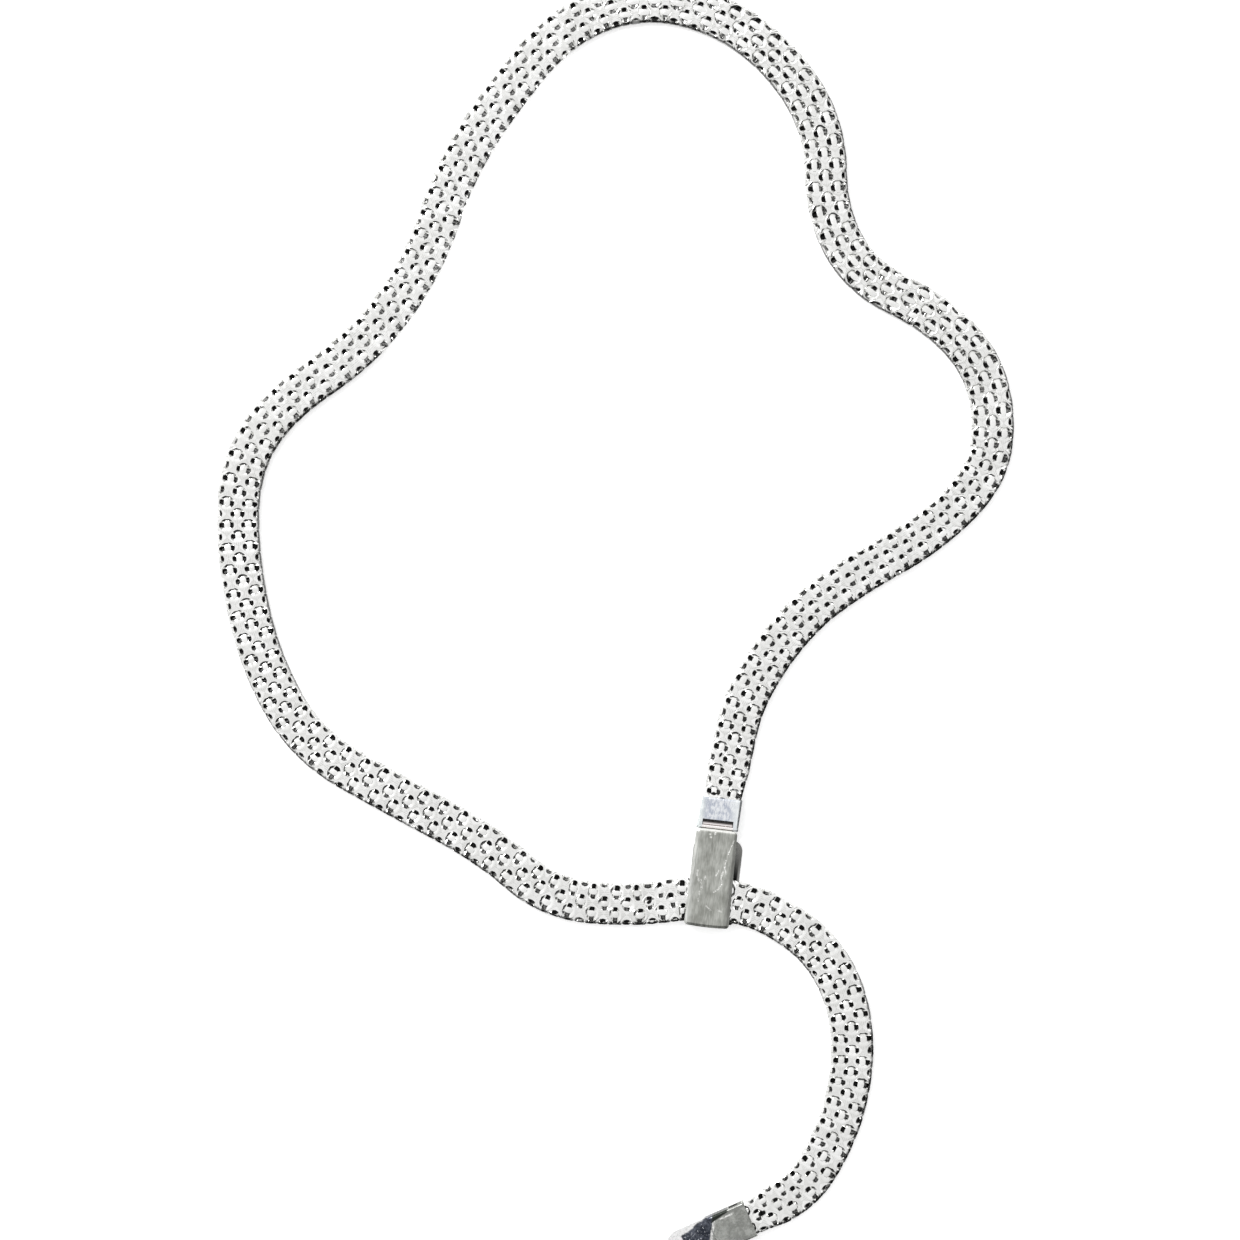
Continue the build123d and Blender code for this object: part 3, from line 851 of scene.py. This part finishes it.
# Finish of the tab, in its own frame: x from its mouth to its tip, y to the left of that. A colour of
# two has the levels between which the first goes over into the second.
tab = {
    "mouth": (19.22, -84.95),  # middle of the tab's mouth, and the tab's direction in degrees from +X
    "direction": 203.75,
    "cloud": (0.8, 4.0, 0.6),  # scale, detail and roughness of the noises
    "fine": (3.5, 3.0, 0.6),
    "satin": ((0.38, 0.62), (0.25, 0.255, 0.24, 1), (0.44, 0.45, 0.425, 1)),
    "satinShares": (0.6, 0.4),  # of the two noises
    "tip": ((0.4, 0.62), (0.03, 0.034, 0.045, 1), (0.13, 0.14, 0.17, 1)),
    "tipShares": (0.7, 0.3),
    "glintsFrom": (0.62, 0.7),
    "glints": (0.8, 0.82, 0.85, 1),
    "rim": (2.55, 6.2, 0.27),  # the dark tip's half breadth, where it starts to narrow, and how fast
    "round": 10.1,  # from the mouth to the dark tip's end
    "rimHighlight": ((0.35, 0.6), (0.80, 0.80, 0.80, 1), (0.97, 0.97, 0.97, 1)),
    "rimWander": 0.8,
    "rimBlur": 0.12,
    "ridge": (5.8, 6.2),  # the start and end of the painted highlight on the ridge, and how far it leans
    "lean": 0.6,
    "ridgeHighlight": ((0.4, 0.6), (0.5, 0.5, 0.49, 1), (0.95, 0.95, 0.93, 1)),
    "shade": (3.3, -2.0),  # the grey upper edge's end and how far across it starts
    "shadeBlur": 0.08,
    "shadeShare": 0.9,
    "shadeColour": (0.27, 0.275, 0.26, 1),
    "line": (2.1, 4.0, -1.76),  # the ends of the painted highlight line, and how far across it lies
    "lineEdge": (0.06, 0.16),
    "lineFrom": (0.3, 0.5),
    "lineHighlight": (0.9, 0.9, 0.88, 1),
    "wedge": (2.3, 5.6, -1.65, 0.2),  # the ends of the wedge of painted shade, its inner edge and how fast that narrows
    "wedgeStart": 0.4,  # length of the fade at its start, and the fade past its end
    "wedgeEnd": (0.6, 0.9),
    "wedgeShadeColour": (0.03, 0.034, 0.03, 1),
    "blur": 0.1,  # half breadth of the fade at the other edges, and of the softer ones
    "softBlur": 0.2,
    "roughness": (0.2, 0.42),
    "bump": (0.06, 0.6),
}


# The tab is satin near the band, then a painted highlight on its ridge, then a polished tip painted with a
# dark reflection, small painted glints and a painted highlight on its rim. Each mark is a product of fades
# along and across the tab.
def tabMetal():
    blur, soft = tab["blur"], tab["softBlur"]
    bench = Bench(bpy.data.materials.new("tabMetal"), Metallic=1.0)
    local = bench.turned(bench.place(), tab["mouth"], math.radians(tab["direction"]))
    x, y = bench.parts(local)
    cloud, fine = bench.noise(local, *tab["cloud"]), bench.noise(local, *tab["fine"])
    first, second = tab["satinShares"]
    surface = cloud * first + fine * second
    satin = bench.mottled(surface, *tab["satin"])
    first, second = tab["tipShares"]
    tip = bench.mottled(cloud * first + fine * second, *tab["tip"])
    tip = bench.blend(fine.ramp(*tab["glintsFrom"]), tip, tab["glints"])
    half, narrowing, rate = tab["rim"]
    beyond = y.size() + (x - narrowing) * rate - half
    past = beyond.atLeast(x - tab["round"]) + (cloud - 0.5) * tab["rimWander"]
    # painted highlight on the tip's rim
    rim = bench.mottled(fine, *tab["rimHighlight"])
    tip = bench.blend(past.ramp(-tab["rimBlur"], tab["rimBlur"]), tip, rim)
    leaning = x - y * tab["lean"]
    first, last = tab["ridge"]
    ridge = bench.mottled(fine, *tab["ridgeHighlight"])
    colour = bench.blend(leaning.ramp(first - blur, first + blur), satin, ridge)
    colour = bench.blend(leaning.ramp(last - blur, last + blur), colour, tip)
    end, outside = tab["shade"]
    edge = tab["shadeBlur"]
    upper = x.fall(end - soft, end + soft) * y.fall(outside - edge, outside + edge)
    colour = bench.blend(upper * tab["shadeShare"], colour, tab["shadeColour"])
    left, right, across = tab["line"]
    line = x.ramp(left - soft, left + soft) * x.fall(right - soft, right + soft)
    line = line * (y - across).size().fall(*tab["lineEdge"]) * fine.ramp(*tab["lineFrom"])
    colour = bench.blend(line, colour, tab["lineHighlight"])
    thin, thick, inner, rate = tab["wedge"]
    start, end = (thick + past for past in tab["wedgeEnd"])
    within = x.ramp(thin, thin + tab["wedgeStart"]) * leaning.fall(start, end)
    wedge = within * (y + (thick - x) * rate).fall(inner - blur, inner + blur)
    bench.feed("Base Color", bench.blend(wedge, colour, tab["wedgeShadeColour"]))
    bench.roughness(fine, *tab["roughness"])
    bench.bump(surface, *tab["bump"])
    return bench.owner


weaveBand([
    ("band_weave_loop", 0, crossAt, "band_loop"),
    ("band_weave_tail", crossAt, bandLength, "band_tail"),
], wovenMetal())

for node, material in (
    ("clasp_base", brightMetal()), ("clasp_cover", satinMetal()), ("tail_tab", tabMetal()),
):
    frame["nodes"][node].data.materials.clear()
    frame["nodes"][node].data.materials.append(material)
print("metal pieces finished")

# Floor and light: a white table under a pale dome, brighter behind and dark low down in front.
stage = {
    "floorHalf": 2000.0,
    "floorDrop": 0.02,
    "floorColour": (0.93, 0.93, 0.93, 1),
    "floorRoughness": 0.7,
    "floorGlow": 0.45,
    "white": (1, 1, 1, 1),
    "dome": 0.92,
    "domeLean": 0.25,  # how much brighter the dome is away from the dark side
    "darkSide": 0.02,
    "darkAzimuth": -66.0,  # degrees from +X
    "darkSpread": 0.15,  # the dark side is where a direction's part towards it is over this
    "darkFall": 0.75,  # and over this much more for each unit of height
    "darkBlur": 0.1,
    "horizon": 0.14,  # the same for a thin darker band all round, and how much darker it is
    "horizonShade": 0.5,
    "keyPower": 1.6,
    "keySize": 160.0,
    "keyPlace": (-260.0, 300.0, 420.0),
}


# The table is one square face, just below the part.
def makeTable():
    half = stage["floorHalf"]
    corners = np.array([(-half, -half), (half, -half), (half, half), (-half, half)])
    points = np.column_stack([corners, np.full(4, -stage["floorDrop"])]) * mm
    mesh = bpy.data.meshes.new("table")
    mesh.from_pydata(points.tolist(), [], [(0, 1, 2, 3)])
    bench = Bench(
        bpy.data.materials.new("tableWhite"), Roughness=stage["floorRoughness"],
        Base_Color=stage["floorColour"], Emission_Color=stage["white"], Emission_Strength=stage["floorGlow"],
    )
    mesh.materials.append(bench.owner)
    table = addObject("table", mesh)


# The dome's strength is 1 less its lean, darker at the horizon, then faded to the dark side.
def makeDome():
    world = bpy.data.worlds.new("studio")
    bpy.context.scene.world = world
    sky = Bench(world, "Background", Color=stage["white"])
    coords = sky.add("ShaderNodeTexCoord", output="Generated")
    azimuth = math.radians(stage["darkAzimuth"])
    aim = (math.cos(azimuth), math.sin(azimuth), 0)
    facing = sky.add("ShaderNodeVectorMath", {"operation": "DOT_PRODUCT"}, {0: coords, 1: aim}, output=1)
    height = sky.parts(coords, 3)[2]
    spread, blur = stage["darkSpread"], stage["darkBlur"]
    dark = (facing - height * stage["darkFall"]).ramp(spread - blur, spread + blur)
    level = (1 - facing * stage["domeLean"]) * stage["dome"]
    level = level * (1 - height.fall(0.0, stage["horizon"], stage["horizonShade"]))
    sky.feed("Strength", level * (1 - dark) + dark * stage["darkSide"])


# The key light is a square that looks at the part's middle.
def makeKey():
    light = bpy.data.lights.new("key", "AREA")
    light.energy, light.size = stage["keyPower"], stage["keySize"] * mm
    key = addObject("key", light)
    key.location = [part * mm for part in stage["keyPlace"]]
    key.rotation_euler = (-key.location).to_track_quat("-Z", "Y").to_euler()


makeTable()
makeDome()
makeKey()
bpy.context.scene.view_settings.view_transform = "Standard"
print("stage and light set")
